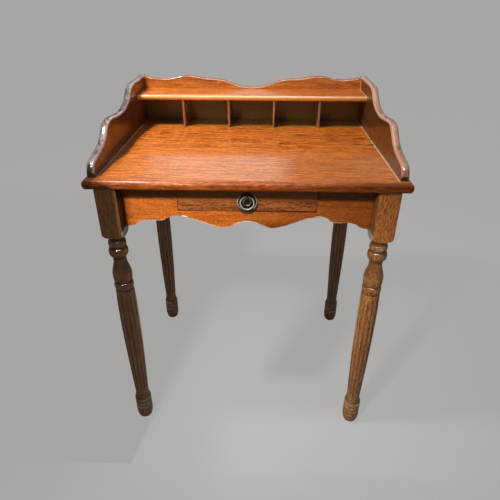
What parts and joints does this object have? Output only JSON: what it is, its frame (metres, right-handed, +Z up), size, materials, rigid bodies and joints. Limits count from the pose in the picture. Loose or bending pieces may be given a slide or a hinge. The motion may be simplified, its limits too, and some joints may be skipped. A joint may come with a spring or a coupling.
{
  "type": "writing desk",
  "caption": "Small writing desk with a low serpentine gallery and pigeonholes, a scalloped apron with a sliding drawer, a ring pull and turned, fluted legs.",
  "frame": {"origin": "on the floor under the middle of the top board", "axes": "+X to the right, -Y out of the front where the drawer opens, +Z up"},
  "size_m": [0.686, 0.545, 0.8685],
  "materials": {
    "top_wood": "glossy orange-brown varnish",
    "frame_wood": "satin orange-brown varnish",
    "leg_wood": "satin golden brown stain, darker in the grooves",
    "inner_wood": "bare sawn wood",
    "panel_board": "bare thin board",
    "old_brass": "darkened, worn bright on the edges",
    "steel": "plain steel"
  },
  "bodies": {
    "desk": {"top_board": "top_wood", "side_gallery_left": "frame_wood", "side_gallery_right": "frame_wood", "back_gallery": "frame_wood", "gallery_shelf": "frame_wood", "pigeonhole_divider_1": "frame_wood", "pigeonhole_divider_2": "frame_wood", "pigeonhole_divider_3": "frame_wood", "pigeonhole_divider_4": "frame_wood", "front_apron": "frame_wood", "left_apron": "frame_wood", "right_apron": "frame_wood", "back_apron": "frame_wood", "leg_front_left": "leg_wood", "leg_front_right": "leg_wood", "leg_back_left": "leg_wood", "leg_back_right": "leg_wood", "corner_block_front_left": "inner_wood", "corner_block_front_right": "inner_wood", "corner_block_back_left": "inner_wood", "corner_block_back_right": "inner_wood", "top_screw_front_left": "steel", "top_screw_front_right": "steel", "top_screw_back_left": "steel", "top_screw_back_right": "steel", "gallery_screw_left_1": "steel", "gallery_screw_left_2": "steel", "gallery_screw_right_1": "steel", "gallery_screw_right_2": "steel", "gallery_screw_back_left": "steel", "gallery_screw_back_right": "steel", "drawer_runner_left": "inner_wood", "drawer_runner_right": "inner_wood", "drawer_stop_left": "inner_wood", "drawer_stop_right": "inner_wood"},
    "drawer": {"drawer_front": "frame_wood", "drawer_side_left": "inner_wood", "drawer_side_right": "inner_wood", "drawer_back": "inner_wood", "drawer_bottom": "panel_board", "pull_plate": "old_brass", "pull_eye_bolt": "old_brass", "pull_nut": "old_brass"},
    "ring": {"pull_ring": "old_brass"}
  },
  "joints": [
    {"name": "drawer_slide", "type": "slide", "parent": "desk", "child": "drawer", "axis": [0, -1, 0], "range_m": [0, 0.25]},
    {"name": "ring_swing", "type": "hinge", "parent": "drawer", "child": "ring", "pos_m": [0, -0.2322, 0.6976], "axis": [-1, 0, 0], "range_deg": [0, 135]}
  ]
}
